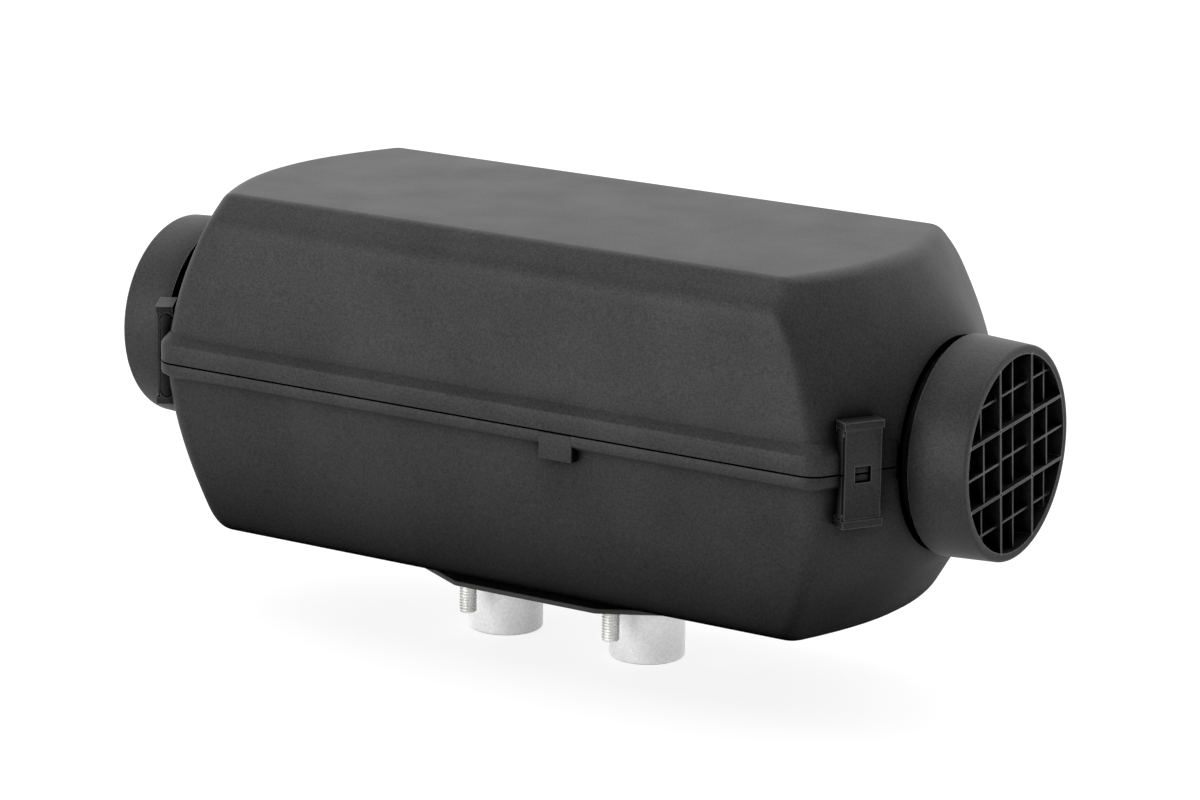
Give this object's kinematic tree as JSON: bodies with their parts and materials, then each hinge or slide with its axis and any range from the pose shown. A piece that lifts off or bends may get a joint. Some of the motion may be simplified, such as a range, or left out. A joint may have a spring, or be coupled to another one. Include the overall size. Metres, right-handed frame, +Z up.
{
  "type": "diesel air heater",
  "caption": "Compact fuel-burning warm-air heater: clipped two-part black casing, grilled duct hoods at both ends, cast foot with intake and exhaust spigots.",
  "frame": {"origin": "centre of the mounting foot, on the underside of its gasket, below the middle of the casing", "axes": "+X along the duct axis to the warm-air outlet, +Y to the side with the cable and fuel grommets, +Z up"},
  "size_m": [0.3302, 0.1259, 0.1492],
  "materials": {
    "casing_plastic": "dark charcoal moulded plastic with a fine grain",
    "clip_plastic": "black moulded plastic, a little glossier than the casing",
    "cast_aluminium": "bright as-cast aluminium with a mottled skin",
    "steel": "drawn and turned steel",
    "zinc_plated_steel": "bright zinc plating",
    "rubber": "black moulded rubber",
    "gasket_fibre": "grey pressed gasket fibre",
    "white_plastic": "natural white moulded plastic",
    "copper_winding": "lacquered copper winding",
    "ferrite": "grey-brown sintered ferrite",
    "circuit_board": "green solder mask on laminate",
    "sintered_metal": "grey porous metal fibre"
  },
  "bodies": {
    "heater_body": {"upper_shell": "casing_plastic", "lower_shell": "casing_plastic", "outlet_hood": "casing_plastic", "inlet_hood": "casing_plastic", "motor_end_cap": "clip_plastic", "control_cover": "clip_plastic", "heat_exchanger": "cast_aluminium", "foot_casting": "cast_aluminium", "blower_cover": "cast_aluminium", "blower_housing": "cast_aluminium", "control_case": "cast_aluminium", "combustion_chamber": "steel", "flame_tube": "steel", "glow_plug": "steel", "glow_plug_screen": "steel", "fuel_pipe": "steel", "sensor_spring_clip": "steel", "blower_side_bearing": "steel", "fan_side_bearing": "steel", "foot_stud_1": "zinc_plated_steel", "foot_stud_2": "zinc_plated_steel", "foot_stud_3": "zinc_plated_steel", "foot_stud_4": "zinc_plated_steel", "blower_bolt_1": "zinc_plated_steel", "blower_bolt_2": "zinc_plated_steel", "blower_bolt_3": "zinc_plated_steel", "blower_bolt_4": "zinc_plated_steel", "motor_can": "zinc_plated_steel", "foot_gasket": "rubber", "cable_grommet": "rubber", "fuel_pipe_grommet": "rubber", "burner_gasket": "gasket_fibre", "overheat_sensor": "white_plastic", "harness_header": "white_plastic", "motor_magnets": "ferrite", "circuit_board": "circuit_board", "evaporator_mat": "sintered_metal"},
    "blower_rotor": {"motor_shaft": "steel", "armature": "copper_winding", "air_impeller": "cast_aluminium", "speed_magnet": "ferrite", "fan_wheel": "clip_plastic"},
    "clip_front_outlet_body": {"clip_front_outlet": "clip_plastic"},
    "clip_rear_outlet_body": {"clip_rear_outlet": "clip_plastic"},
    "clip_front_inlet_body": {"clip_front_inlet": "clip_plastic"},
    "clip_rear_inlet_body": {"clip_rear_inlet": "clip_plastic"}
  },
  "joints": [
    {"name": "blower_spin", "type": "hinge", "parent": "heater_body", "child": "blower_rotor", "pos_m": [-0.08, 0, 0.068], "axis": [1, 0, 0], "continuous": true},
    {"name": "clip_front_outlet_slide", "type": "slide", "parent": "heater_body", "child": "clip_front_outlet_body", "axis": [-0.5193, -0.8546, 0], "range_m": [0, 0.022]},
    {"name": "clip_rear_outlet_slide", "type": "slide", "parent": "heater_body", "child": "clip_rear_outlet_body", "axis": [-0.5193, 0.8546, 0], "range_m": [0, 0.022]},
    {"name": "clip_front_inlet_slide", "type": "slide", "parent": "heater_body", "child": "clip_front_inlet_body", "axis": [0.5193, -0.8546, 0], "range_m": [0, 0.022]},
    {"name": "clip_rear_inlet_slide", "type": "slide", "parent": "heater_body", "child": "clip_rear_inlet_body", "axis": [0.5193, 0.8546, 0], "range_m": [0, 0.022]}
  ]
}
